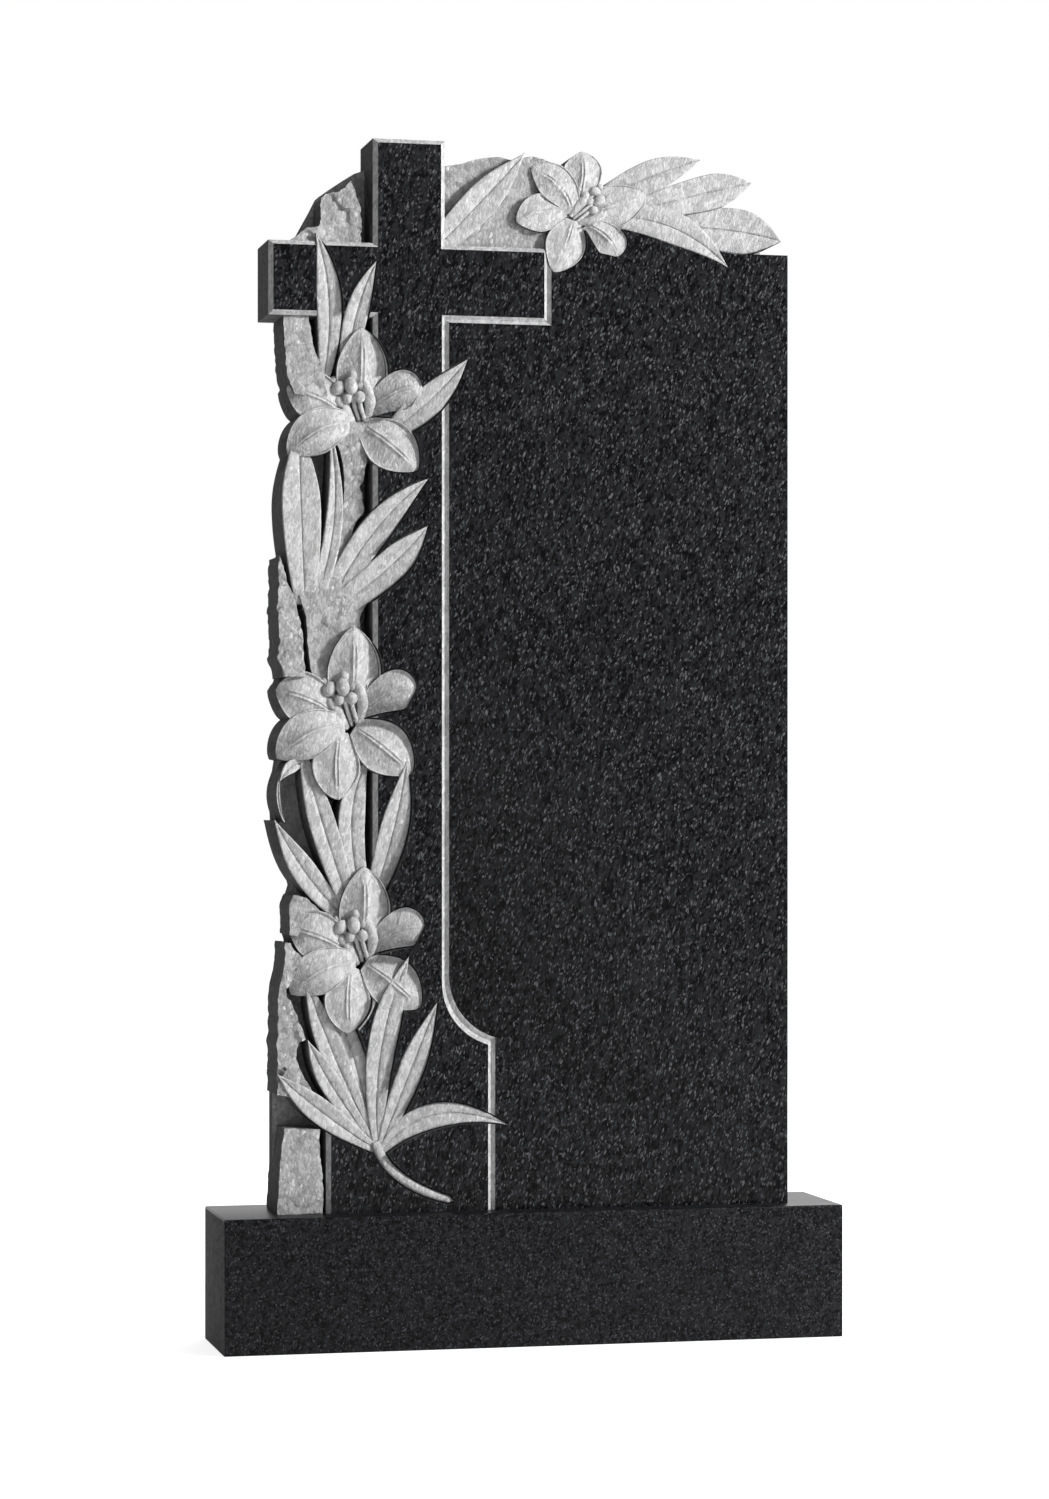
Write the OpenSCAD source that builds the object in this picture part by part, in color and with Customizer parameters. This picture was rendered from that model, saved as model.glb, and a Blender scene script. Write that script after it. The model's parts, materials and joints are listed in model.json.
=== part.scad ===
// Carved granite headstone: a slab with a cross, lilies and broken rock, on a plinth.
// The ground is z = 0, the front faces -Y, and x = 0 is the middle of the slab.

/* [Plinth] */
// Width of the plinth
plinth_w = 710; // [500:5:1000]
// Depth of the plinth, front to back
plinth_d = 150; // [120:5:300]
// Height of the plinth
plinth_h = 150; // [80:5:300]
// Chamfer on the plinth's upper edges
plinth_edge = 2; // [0.5:0.5:6]

/* [Slab] */
// Width of the slab
slab_w = 600; // [480:5:760]
// Height of the slab above the plinth
slab_h = 1200; // [960:5:1500]
// Thickness of the slab
slab_t = 80; // [66:1:110]
// Height of the plain right-hand panel, as the cross arm's top plus this
panel_rise = 1; // [0:1:10]

/* [Cross] */
// Distance from the slab's left edge to the middle of the upright
upright_x = 159; // [130:1:190]
// Width of the upright
upright_w = 82; // [60:1:100]
// Distance from the top of the upright to the top of the arm
arm_drop = 117; // [90:1:145]
// Height of the arm
arm_h = 83; // [60:1:100]
// Width of the cross at its foot
foot_w = 188; // [150:1:220]
// Height of the wide foot
foot_h = 190; // [150:1:230]
// Radius of the curve from the upright to the foot
flare_r = 73; // [60:1:90]
// Chamfer along the cross's free edges
bevel = 5; // [2:0.5:8]
// Half of the width of the V-groove between the cross and the panel
groove = 4; // [2:0.5:6]

/* [Carving] */
// Depth of the pockets between the leaves
pocket_d = 56; // [40:1:62]
// Clearance cut round a leaf or petal that lies over the polished face
margin = 1.5; // [0.5:0.5:4]
// How much deeper than a blade's edge that clearance is cut
undercut = 5; // [1:1:12]
// Depth of the crease along the middle of a leaf
crease = 2; // [1:0.5:8]
// Size of the lily blooms
bloom = 1; // [0.8:0.05:1.2]
// Depth of a bloom's throat
throat_d = 38; // [25:1:50]
// Radius of an anther
anther_r = 5; // [3:0.5:7]
// Roughness of the broken rock
rough = 4; // [1:0.5:8]

/* [Hidden] */
face_y = -slab_t / 2;
left = -slab_w / 2;
right = slab_w / 2;
foot_z = plinth_h;
top_z = plinth_h + slab_h;
mid_x = left + upright_x;
up_l = mid_x - upright_w / 2;
up_r = mid_x + upright_w / 2;
arm_r = mid_x + upright_x;
arm_t = top_z - arm_drop;
arm_b = arm_t - arm_h;
flare_z = foot_h + sqrt(pow(flare_r, 2) - pow(foot_w / 2 - upright_w / 2 - flare_r, 2));
panel_t = arm_t + panel_rise;
flare_steps = 5;
leaf_rows = 5;
petal_rows = 5;
least = 0.4;  // half-width left at the very tip of a blade

// The carving is laid out on a slab of this size, from the middle of its foot.
plan_left = -300;
plan_up_l = -182;
plan_arm_b = 1000;
plan_arm_t = 1083;
plan_arm_r = 18;
plan_right = 300;

// ---- Where the carving goes ----

// The column of lilies hangs between the slab's left edge, the upright and the arm
function column(p) = [
    up_l + (p[0] - plan_up_l) * (p[0] < plan_up_l ? (up_l - left) / (plan_up_l - plan_left) : 1),
    p[1] < plan_arm_b ? foot_z + p[1] * (arm_b - foot_z) / plan_arm_b : arm_b + p[1] - plan_arm_b];

// The spray lies on top of the arm and reaches from the upright to the right edge
function spray(p) = [
    p[0] < plan_arm_r ? up_r + (p[0] - plan_up_l - 82) * (arm_r - up_r) / (plan_arm_r - plan_up_l - 82)
                      : arm_r + (p[0] - plan_arm_r) * (right - arm_r) / (plan_right - plan_arm_r),
    arm_t + p[1] - plan_arm_t];

// ---- Curves ----

function unit(v) = v / norm(v);

// The control point of a curve that passes through v half way from a to b
function pull(a, v, b) = 2 * v - (a + b) / 2;

function along(a, v, b, t) = (1 - t) * (1 - t) * a + 2 * t * (1 - t) * pull(a, v, b) + t * t * b;

// Square to the curve, to the left when walking from a to b
function across(a, v, b, t) =
    let (d = (1 - t) * (pull(a, v, b) - a) + t * (b - pull(a, v, b))) unit([-d[1], d[0]]);

// A value that is d[0] at the root, d[1] half way and d[2] at the tip
function ease(d, t) = d[0] * (2 * t * t - 3 * t + 1) + 4 * d[1] * t * (1 - t) + d[2] * (2 * t * t - t);

// Half-width of a blade, widest at `peak`; a sharp tip has end = 1 and a round one end = 0.5
function swell(w, peak, stem, end, t) =
    t < peak ? w * (stem + (1 - stem) * sin(90 * t / peak))
             : max(least, w * pow(max(0, cos(90 * (t - peak) / (1 - peak))), end));

function turned(p, angle) = [p[0] * cos(angle) - p[1] * sin(angle), p[0] * sin(angle) + p[1] * cos(angle)];

// ---- One carved strip: a closed solid that follows a curve ----

// half(t) is its half-width, front(t, u) and rear(t) are depths behind the polished face
module strip(a, v, b, half, front, rear, rows, cols) {
    m = len(cols);
    base = (rows + 1) * m;
    function f(i, j) = i * m + j;
    function r(i, k) = base + 2 * i + k;
    function spot(t, u, d) =
        let (c = along(a, v, b, t), s = across(a, v, b, t) * half(t) * u)
        [c[0] - s[0], face_y + d, c[1] - s[1]];
    points = concat(
        [for (i = [0:rows]) for (u = cols) spot(i / rows, u, front(i / rows, u))],
        [for (i = [0:rows]) for (u = [-1, 1]) spot(i / rows, u, rear(i / rows))]);
    faces = concat(
        [for (i = [0:rows - 1]) for (j = [0:m - 2]) each
            [[f(i, j), f(i + 1, j), f(i + 1, j + 1)], [f(i, j), f(i + 1, j + 1), f(i, j + 1)]]],
        [for (i = [0:rows - 1]) each
            [[r(i, 0), r(i, 1), r(i + 1, 1)], [r(i, 0), r(i + 1, 1), r(i + 1, 0)],
             [r(i, 0), r(i + 1, 0), f(i + 1, 0)], [r(i, 0), f(i + 1, 0), f(i, 0)],
             [f(i, m - 1), f(i + 1, m - 1), r(i + 1, 1)], [f(i, m - 1), r(i + 1, 1), r(i, 1)]]],
        [concat([for (j = [0:m - 1]) f(0, j)], [r(0, 1), r(0, 0)]),
         concat([r(rows, 0), r(rows, 1)], [for (j = [m - 1:-1:0]) f(rows, j)])]);
    polyhedron(points, faces, convexity = 6);
}

// ---- Leaves ----

// Each leaf: [root, half way, tip, half-width, widest at, share of it at the root,
// [depth at root, half way, tip]]
COLUMN_LEAVES = [
    [[-236, 925], [-231, 1014], [-247, 1092], 14, 0.50, 0.4, [20, 6, 1]],
    [[-209, 925], [-201, 1000], [-178, 1063], 13, 0.50, 0.5, [20, 5, 1]],
    [[-256, 680], [-262, 778], [-262, 880], 22, 0.55, 0.5, [20, 6, 14]],
    [[-252, 670], [-225, 770], [-230, 885], 10, 0.40, 0.8, [20, 9, 18]],
    [[-168, 868], [-118, 908], [-74, 956], 17, 0.45, 0.4, [18, 5, 1]],
    [[-232, 672], [-182, 758], [-119, 821], 17, 0.50, 0.6, [20, 6, 1]],
    [[-240, 664], [-172, 713], [-120, 768], 18, 0.60, 0.6, [20, 8, 1]],
    [[-206, 344], [-237, 430], [-262, 530], 15, 0.50, 0.7, [16, 6, 16]],
    [[-192, 350], [-205, 440], [-184, 508], 15, 0.50, 0.7, [15, 8, 14]],
    [[-178, 355], [-157, 430], [-144, 504], 16, 0.45, 0.6, [16, 6, 1]],
    [[-214, 332], [-256, 378], [-293, 438], 14, 0.50, 0.6, [20, 9, 3]],
    [[-256, 500], [-272, 498], [-286, 482], 7, 0.50, 0.25, [20, 12, 8]],
    [[-281, 436], [-288, 464], [-284, 492], 2, 0.50, 0.25, [8, 8, 10]],
    [[-178, 70], [-240, 113], [-290, 156], 14, 0.50, 0.35, [12, 6, 3]],
    [[-180, 76], [-225, 138], [-255, 193], 12, 0.55, 0.35, [14, 9, 6]],
    [[-179, 78], [-225, 176], [-256, 262], 14, 0.55, 0.35, [15, 10, 16]],
    [[-178, 86], [-202, 172], [-232, 262], 13, 0.50, 0.35, [16, 12, 18]],
    [[-174, 74], [-172, 182], [-141, 286], 16, 0.60, 0.35, [13, 5, 1]],
    [[-171, 74], [-141, 152], [-109, 234], 14, 0.55, 0.35, [12, 5, 1]],
    [[-172, 66], [-111, 107], [-28, 95], 14, 0.45, 0.3, [12, 5, 1]]];

SPRAY_LEAVES = [
    [[78, 1140], [140, 1170], [197, 1190], 18, 0.50, 0.5, [14, 8, 3]],
    [[112, 1128], [196, 1151], [258, 1166], 20, 0.60, 0.5, [13, 6, 3]],
    [[160, 1114], [236, 1112], [293, 1100], 26, 0.55, 0.5, [14, 10, 3]],
    [[92, 1122], [166, 1112], [230, 1068], 19, 0.45, 0.6, [13, 5, 1]]];

// This one comes out from behind the upright, so the upright isn't cut away round it
BEHIND_LEAF = [[-112, 1078], [-60, 1132], [-8, 1190], 19, 0.50, 0.6, [6, 3, 2]];

// The twig that the lowest leaves grow from
TWIG = [[-178, 78], [-150, 38], [-90, 11], 5.5, 0.30, 0.9, [12, 5, 6]];
twig_tip = 0.12;  // a blunt end
twig_round = 3;  // how far the twig's middle stands out from its sides

module leaf(spec, cut = false) {
    d = spec[6];
    grow = cut ? margin : 0;
    strip(spec[0], spec[1], spec[2],
          function(t) swell(spec[3], spec[4], spec[5], 1, t) + grow,
          function(t, u) cut ? -2 * bevel : ease(d, t) + crease * (1 - abs(u)) * sin(180 * t),
          function(t) cut ? ease(d, t) + undercut : slab_t,
          leaf_rows, cut ? [-1, 1] : [-1, 0, 1]);
}

function placed_column(s) = [column(s[0]), column(s[1]), column(s[2]), s[3], s[4], s[5], s[6]];

function placed_spray(s) = [spray(s[0]), spray(s[1]), spray(s[2]), s[3], s[4], s[5], s[6]];

module leaves(cut = false) {
    for (spec = COLUMN_LEAVES) leaf(placed_column(spec), cut);
    for (spec = SPRAY_LEAVES) leaf(placed_spray(spec), cut);
    if (!cut) leaf(placed_spray(BEHIND_LEAF));
}

// The twig has a round end and a round back
module twig(cut = false) {
    spec = placed_column(TWIG);
    grow = cut ? margin : 0;
    strip(spec[0], spec[1], spec[2],
          function(t) swell(spec[3], spec[4], spec[5], twig_tip, t) + grow,
          function(t, u) cut ? -2 * bevel : ease(spec[6], t) - twig_round * (1 - u * u),
          function(t) cut ? ease(spec[6], t) + undercut : slab_t,
          leaf_rows, cut ? [-1, 1] : [-1, 0, 1]);
}

// ---- Lily blooms ----

// Each petal, from the middle of the bloom: root, half way, tip, half-width, widest at,
// [depth at root, half way, tip], depth of the hollow on each side of its raised middle
PETALS = [
    [[1, 6], [2, 58], [0, 108], 29, 0.50, [34, 12, 8], 6],
    [[-14, 12], [-48, 30], [-82, 40], 27, 0.62, [26, 9, 20], 3.5],
    [[-6, 2], [-44, -6], [-80, -34], 25, 0.60, [20, 5, 22], 3.5],
    [[-12, -4], [-18, -42], [-15, -78], 26, 0.50, [20, 7, 8], 3.5],
    [[4, 0], [32, -21], [64, -50], 28, 0.52, [18, 8, 7], 4],
    [[12, 16], [42, 38], [69, 42], 22, 0.62, [28, 9, 6], 3.5]];

petal_root = 0.35;  // a petal's width at its root, as a share of its full width
petal_fold = 0.7;   // height of a petal's middle above its rim, as a share of its hollow's depth
petal_tip = 0.7;    // how pointed a petal is: 1 is sharp and 0.5 is round

// Each anther, from the middle of the bloom: [place, the way it points, depth]
ANTHERS = [
    [[-31, 40], 150, 11], [[-22, 29], 120, 14], [[-12, 45], 80, 8], [[-3, 32], 80, 10]];

STAMEN_ROOT = [3, 2];
anther_long = 0.8;  // how far an anther's ends lie from its middle, as a share of its radius
root_share = 0.8;   // how deep in the throat the stamens begin

// Each bloom: [middle, size, turn, share of the full depth, petals that show]
COLUMN_BLOOMS = [
    [[-195, 880], 1.00, 0, 1, [0, 1, 2, 4, 5]],
    [[-204, 542], 1.04, 0, 1, [0, 1, 2, 3, 4, 5]],
    [[-192, 278], 1.00, 0, 1, [0, 1, 2, 3, 4, 5]]];

SPRAY_BLOOMS = [[[48, 1120], 0.83, -72, 0.4, [0, 1, 2, 3, 4, 5]]];

module petal(spec, middle, size, turn, deep, cut = false) {
    function out(p) = middle + size * turned(p, turn);
    d = deep * spec[5];
    hollow = sqrt(deep) * spec[6];
    grow = cut ? margin : 0;
    strip(out(spec[0]), out(spec[1]), out(spec[2]),
          function(t) size * swell(spec[3], spec[4], petal_root, petal_tip, t) + grow,
          function(t, u) cut ? -2 * bevel
                             : ease(d, t) + hollow * sin(180 * t) * (abs(u) == 1 ? 0 : u == 0 ? -petal_fold : 1),
          function(t) cut ? ease(d, t) + hollow * sin(180 * t) + undercut : slab_t,
          petal_rows, cut ? [-1, 1] : [-1, -0.8, 0, 0.8, 1]);
}

// A stamen is an anther on a thin web of stone that runs down into the throat
module stamen(spec, middle, size, turn, deep) {
    at = middle + size * turned(spec[0], turn);
    root = middle + size * turned(STAMEN_ROOT, turn);
    depth = max(spec[2] * deep, anther_r + 1);
    reach = anther_long * anther_r * turned([1, 0], spec[1] + turn);
    hull() for (side = [-1, 1])
        translate([at[0] + side * reach[0], face_y + depth, at[1] + side * reach[1]])
            sphere(r = anther_r, $fn = 5);
    hull() {
        web(at, depth + anther_r / 2);
        web(root, root_share * throat_d * deep);
    }
}

module web(p, depth) {
    translate([p[0], face_y + depth, p[1]]) rotate([-90, 0, 0])
        cylinder(h = pocket_d - depth + 2, r = anther_r / 2, $fn = 4);
}

module blooms(cut = false) {
    placed = concat([for (b = COLUMN_BLOOMS) [column(b[0]), b[1], b[2], b[3], b[4]]],
                    [for (b = SPRAY_BLOOMS) [spray(b[0]), b[1], b[2], b[3], b[4]]]);
    for (b = placed) {
        for (i = b[4]) petal(PETALS[i], b[0], b[1] * bloom, b[2], b[3], cut);
        if (!cut) for (a = ANTHERS) stamen(a, b[0], b[1] * bloom, b[2], b[3]);
    }
}

// ---- Broken rock ----

// Each rock: [depth, share of the full roughness, outline]
COLUMN_ROCKS = [
    [4, 0.5, [[-283, 96], [-282, 90], [-285, 70], [-288, 40], [-290, 0], [-239, 0], [-238, 20], [-239, 40],
        [-241, 60], [-243, 80], [-242, 94]]],
    [8, 1, [[-281, 302], [-274, 300], [-262, 284], [-270, 265], [-279, 250], [-278, 240], [-272, 233],
        [-268, 220], [-262, 206], [-258, 195], [-265, 190], [-268, 180], [-266, 165], [-258, 150], [-248, 133],
        [-270, 128], [-289, 133], [-289, 180], [-288, 250], [-284, 262], [-281, 280]]],
    [13, 0.6, [[-274, 310], [-275, 345], [-270, 355], [-256, 352], [-240, 337], [-226, 333], [-226, 306]]],
    [7, 1, [[-287, 732], [-288, 720], [-287, 700], [-289, 680], [-288, 650], [-286, 635], [-289, 620],
        [-282, 598], [-258, 598], [-260, 630], [-262, 650], [-266, 670], [-270, 688], [-277, 700], [-283, 720]]],
    [16, 0.5, [[-272, 708], [-262, 685], [-255, 665], [-254, 640], [-252, 620], [-246, 586], [-186, 586],
        [-183, 605], [-186, 622], [-193, 645], [-195, 662], [-192, 672], [-185, 683], [-195, 700], [-205, 715],
        [-222, 738], [-240, 748], [-256, 738]]],
    [15, 0.5, [[-224, 870], [-214, 840], [-212, 815], [-214, 790], [-218, 760], [-224, 732], [-205, 730],
        [-203, 762], [-200, 770], [-192, 780], [-190, 785], [-192, 800], [-195, 812], [-190, 820], [-190, 828],
        [-187, 840], [-186, 860], [-190, 884], [-215, 884]]],
    [8, 0.7, [[-282, 1003], [-281, 970], [-280, 945], [-277, 930], [-270, 912], [-234, 912], [-236, 937],
        [-240, 945], [-247, 960], [-250, 975], [-254, 1003]]],
    [8, 1, [[-274, 1078], [-274, 1084], [-262, 1093], [-256, 1097], [-243, 1100], [-240, 1108], [-241, 1120],
        [-239, 1132], [-235, 1137], [-220, 1139], [-212, 1144], [-207, 1152], [-202, 1142], [-200, 1135],
        [-196, 1122], [-194, 1108], [-195, 1078]]]];

SPRAY_ROCKS = [
    [18, 0.4, [[-104, 1078], [-104, 1174], [-88, 1175], [-80, 1177], [-70, 1180], [-62, 1183], [-48, 1186],
        [-35, 1187], [-20, 1184], [-12, 1180], [-40, 1155], [-70, 1126], [-92, 1078]]],
    [11, 0.3, [[-104, 1078], [-104, 1098], [-78, 1127], [-58, 1144], [-38, 1160], [-14, 1180], [-8, 1186], [2, 1188],
        [15, 1185], [28, 1180], [36, 1173], [60, 1150], [90, 1140], [90, 1100], [20, 1086], [20, 1078]]]];

// A rock's rim is broken back behind its middle
module rock(depth, share, outline) {
    plate(depth + rough * share, slab_t) polygon(outline);
    plate(depth, slab_t) offset(delta = -rough) polygon(outline);
}

module rocks() {
    for (s = COLUMN_ROCKS) rock(s[0], s[1], [for (p = s[2]) column(p)]);
    for (s = SPRAY_ROCKS) rock(s[0], s[1], [for (p = s[2]) spray(p)]);
}

// ---- The slab itself ----

// The curve from the upright to the wide foot, on the right (+1) or left (-1) side
function flare(side) = [for (i = [0:flare_steps])
    let (last = asin((flare_z - foot_h) / flare_r), a = last * i / flare_steps)
    [mid_x + side * (upright_w / 2 + flare_r * (1 - cos(a))), foot_z + flare_z - flare_r * sin(a)]];

function backwards(list) = [for (i = [len(list) - 1:-1:0]) list[i]];

function foot_side(side) = concat(flare(side), [[mid_x + side * foot_w / 2, foot_z]]);

module cross_2d() {
    polygon(concat(
        [[up_r, arm_b], [arm_r, arm_b], [arm_r, arm_t], [up_r, arm_t], [up_r, top_z], [up_l, top_z],
         [up_l, arm_t], [left, arm_t], [left, arm_b], [up_l, arm_b]],
        foot_side(-1), backwards(foot_side(1))));
}

// The panel rises a little higher behind the spray than it does where its top shows
PANEL_HIGH = [150, 1112];
PANEL_LOW = [228, 1083];

module panel_2d() {
    high = spray(PANEL_HIGH);
    polygon([[up_r, foot_z], [right, foot_z], [right, panel_t], [spray(PANEL_LOW)[0], panel_t],
             high, [arm_r, high[1]], [arm_r, arm_b], [up_r, arm_b]]);
}

proud = 2;  // how far a cutter reaches out of the face that it cuts

// Stands an outline up as a plate between two depths behind the polished face
module plate(from, to) {
    translate([0, face_y + to, 0]) rotate([90, 0, 0]) linear_extrude(to - from) children();
}

// A 45 degree groove of half-width b along a line; on an edge it leaves a chamfer
module vee(points, b) {
    for (i = [0:len(points) - 2]) hull() for (p = [points[i], points[i + 1]])
        translate([p[0], face_y - proud, p[1]]) rotate([-90, 45, 0])
            cylinder(h = b + proud, r1 = (b + proud) * sqrt(2), r2 = 0, $fn = 4);
}

module slab_body() {
    difference() {
        plate(0, slab_t) union() {
            cross_2d();
            panel_2d();
        }
        vee(concat([[arm_r, arm_t], [arm_r, arm_b], [up_r, arm_b]], foot_side(1)), groove);
        vee([[arm_r, arm_t], [up_r, arm_t], [up_r, top_z], [up_l, top_z], [up_l, arm_t],
             [left, arm_t], [left, arm_b], [up_l, arm_b]], bevel);
        vee(concat([[up_l, arm_b]], foot_side(-1)), bevel);
        leaves(cut = true);
        twig(cut = true);
        blooms(cut = true);
    }
}

// The stone left at the back of the pockets, inside the outline of the carving
BACK_COLUMN = [
    [-240, 0], [-287, 0], [-287, 160], [-285, 250], [-270, 285], [-272, 345], [-266, 365], [-286, 437],
    [-288, 468], [-282, 505], [-284, 520], [-268, 545], [-284, 590], [-280, 602], [-287, 620], [-286, 720],
    [-276, 745], [-279, 800], [-270, 850], [-254, 880], [-270, 905], [-276, 940], [-279, 1005], [-182, 1005]];
BACK_CORNER = [[-262, 1078], [-258, 1097], [-242, 1126], [-235, 1140], [-224, 1148], [-208, 1159],
               [-194, 1168], [-183, 1172], [-176, 1172], [-176, 1078]];
BACK_SPRAY = [[-104, 1078], [-104, 1172], [28, 1172], [60, 1165], [130, 1152], [200, 1140],
              [250, 1120], [284, 1096], [284, 1078]];

module back() {
    plate(pocket_d, slab_t) polygon(concat([for (p = BACK_COLUMN) column(p)], [[up_l + 1, foot_z]]));
    plate(pocket_d, slab_t) polygon([for (p = BACK_CORNER) column(p)]);
    plate(pocket_d, slab_t) polygon([for (p = BACK_SPRAY) spray(p)]);
}

module slab() {
    color("#2b2c2e") union() {
        slab_body();
        back();
        rocks();
        leaves();
        twig();
        blooms();
    }
}

// ---- The plinth ----

// The end view of a block with chamfered upper edges
module block_2d(w, h, c) {
    polygon([[-w / 2, 0], [w / 2, 0], [w / 2, h - c], [w / 2 - c, h], [c - w / 2, h], [-w / 2, h - c]]);
}

module plinth() {
    color("#35363a") intersection() {
        translate([0, plinth_d / 2, 0]) rotate([90, 0, 0])
            linear_extrude(plinth_d) block_2d(plinth_w, plinth_h, plinth_edge);
        translate([-plinth_w / 2, 0, 0]) rotate([90, 0, 90])
            linear_extrude(plinth_w) block_2d(plinth_d, plinth_h, plinth_edge);
    }
}

plinth();
slab();
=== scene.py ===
import json
import math

import bmesh
import bpy
import numpy as np
from bpy.props import FloatProperty, FloatVectorProperty, IntProperty, PointerProperty
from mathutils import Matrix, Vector, noise
from mathutils.bvhtree import BVHTree

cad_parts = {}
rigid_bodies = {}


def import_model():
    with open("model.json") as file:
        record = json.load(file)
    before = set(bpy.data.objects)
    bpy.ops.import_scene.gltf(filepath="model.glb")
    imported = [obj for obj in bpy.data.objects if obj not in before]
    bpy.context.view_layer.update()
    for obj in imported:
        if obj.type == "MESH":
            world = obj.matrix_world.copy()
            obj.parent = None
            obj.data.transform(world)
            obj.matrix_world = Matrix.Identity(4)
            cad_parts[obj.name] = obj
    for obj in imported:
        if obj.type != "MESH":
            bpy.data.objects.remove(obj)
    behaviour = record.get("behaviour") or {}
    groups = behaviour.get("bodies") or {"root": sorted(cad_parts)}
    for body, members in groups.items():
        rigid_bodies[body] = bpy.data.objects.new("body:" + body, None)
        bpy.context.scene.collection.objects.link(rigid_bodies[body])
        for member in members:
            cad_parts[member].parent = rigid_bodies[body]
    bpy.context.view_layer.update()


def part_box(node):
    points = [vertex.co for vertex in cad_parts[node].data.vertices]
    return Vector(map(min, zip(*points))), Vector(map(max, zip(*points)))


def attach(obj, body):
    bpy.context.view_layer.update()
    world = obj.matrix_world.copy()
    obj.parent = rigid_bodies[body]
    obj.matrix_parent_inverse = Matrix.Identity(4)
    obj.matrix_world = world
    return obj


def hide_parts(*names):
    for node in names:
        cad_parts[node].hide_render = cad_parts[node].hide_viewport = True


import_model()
slab_low, slab_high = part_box("slab")
plinth_low, plinth_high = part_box("plinth")

bl_info = {
    "name": "Carved Granite Headstone",
    "version": (1, 0, 0),
    "blender": (4, 5, 0),
    "location": "View3D > Sidebar > Headstone",
    "description": "Builds a granite headstone with a cross, carved lilies and broken rock on a plinth",
    "category": "Object",
}

MM = 0.001
TUBE_END = 0.4  # how far a tube's ends stand out, as a share of its radius there
PROUD = 2  # how far a groove's cutter reaches out of the face, in millimetres
TIP_HALF = 0.4  # half-width left at the very tip of a blade, in millimetres
FACING = 0.25  # a face whose normal has less of y than this is a wall

# The finishes of the stone, in the order of the slab's material slots; sunk and wall are painted tones:
# sunk is painted light in the deep pockets, wall is painted shade along the carving's walls and painted
# light in the pockets
FINISHES = ("polished", "frosted", "broken", "sunk", "wall", "sawn")
POLISHED, FROSTED, BROKEN, PAINTED_LIGHT_FLOOR, PAINTED_WALL_TONE, SAWN = range(6)


# ---- What a user would change ----

def length(name, description, default, low, high):
    """A size in metres for a property group."""
    return FloatProperty(name=name, description=description, default=default, min=low, max=high,
                         unit="LENGTH", subtype="DISTANCE", precision=4)


def colour(name, description, default):
    """A linear colour for a property group."""
    return FloatVectorProperty(name=name, description=description, default=default, size=3,
                               min=0, max=1, subtype="COLOR")


class HeadstoneSizes(bpy.types.PropertyGroup):
    """Sizes of the slab, the cross and the carving."""

    upright_x: length("Upright place", "From the slab's left edge to the middle of the upright",
                      0.159, 0.13, 0.19)
    upright_w: length("Upright width", "Width of the cross's upright", 0.082, 0.06, 0.1)
    arm_drop: length("Arm drop", "From the top of the upright to the top of the arm", 0.117, 0.09, 0.145)
    arm_h: length("Arm height", "Height of the cross's arm", 0.083, 0.06, 0.1)
    foot_w: length("Foot width", "Width of the cross at its foot", 0.188, 0.15, 0.22)
    foot_h: length("Foot height", "Height of the cross's wide foot", 0.19, 0.15, 0.23)
    flare_r: length("Flare radius", "Radius of the curve from the upright to the foot", 0.073, 0.06, 0.09)
    panel_rise: length("Panel rise", "From the top of the arm to the top of the plain panel",
                       0.001, 0, 0.01)
    bevel: length("Chamfer", "Chamfer along the cross's free edges", 0.005, 0.002, 0.008)
    groove: length("Groove", "Half-width of the groove between the cross and the panel",
                   0.004, 0.002, 0.006)
    pocket_d: length("Pocket depth", "Depth of the pockets between the leaves", 0.056, 0.04, 0.062)
    margin: length("Clearance", "Clearance cut round a blade that lies over the polished face",
                   0.0015, 0.0005, 0.004)
    undercut: length("Undercut", "How much deeper than a blade's edge that clearance is cut",
                     0.005, 0.001, 0.012)
    crease: length("Crease", "Depth of the valley along the middle of a leaf", 0.002, 0.001, 0.008)
    rough: length("Rock roughness", "Height of the facets on the broken rock", 0.004, 0.001, 0.008)
    plinth_edge: length("Plinth edge", "Rounding of the plinth's upper edges", 0.002, 0.0005, 0.006)


class HeadstoneDetail(bpy.types.PropertyGroup):
    """How finely the carving is cut."""

    leaf_rows: IntProperty(name="Leaf rows", description="Steps along a leaf", default=36, min=8, max=80)
    petal_rows: IntProperty(name="Petal rows", description="Steps along a petal", default=34, min=8, max=80)
    rock_step: length("Rock step", "Spacing of the points on the broken rock", 0.003, 0.0015, 0.01)
    ring: IntProperty(name="Ring", description="Points round a stamen", default=12, min=6, max=32)
    flare_steps: IntProperty(name="Flare steps", description="Steps along the curve to the foot",
                             default=24, min=4, max=64)


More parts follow.
